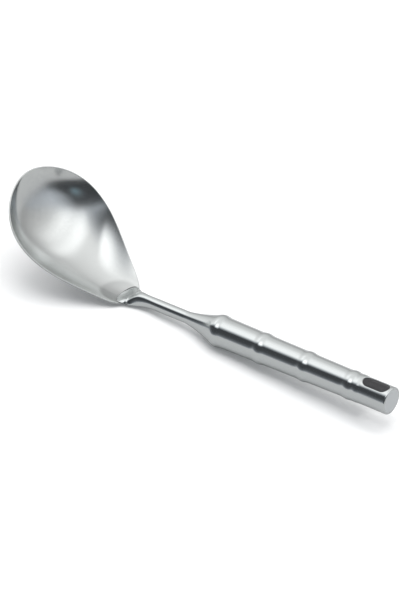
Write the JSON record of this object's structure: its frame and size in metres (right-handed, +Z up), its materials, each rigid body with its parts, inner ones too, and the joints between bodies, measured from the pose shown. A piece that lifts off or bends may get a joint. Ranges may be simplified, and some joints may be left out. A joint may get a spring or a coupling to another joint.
{
  "type": "rice serving spoon",
  "caption": "Stainless-steel rice serving spoon with a wide upswept pressed bowl, a slim round neck and a hollow bamboo-ringed grip with a hanging slot, for scooping and serving rice.",
  "frame": {"origin": "centre of the bounding box's footprint, on the table plane", "axes": "+X from the butt of the grip to the tip of the bowl, +Z up with the spoon lying on its bowl and its shoulder ring, +Y to the left of the bowl seen from the butt"},
  "size_m": [0.2654, 0.0708, 0.0594],
  "materials": {
    "satin_steel": "fine satin, soft blurred reflections",
    "neck_steel": "polished",
    "weld_steel": "ground weld metal",
    "shoulder_steel": "polished",
    "polished_steel": "polished",
    "cap_steel": "satin"
  },
  "bodies": {
    "root": {"bowl": "satin_steel", "neck_rod": "neck_steel", "lip_weld": "weld_steel", "tail_weld": "weld_steel", "shoulder_cone": "shoulder_steel", "grip_tube": "polished_steel", "end_cap": "cap_steel"}
  },
  "joints": []
}
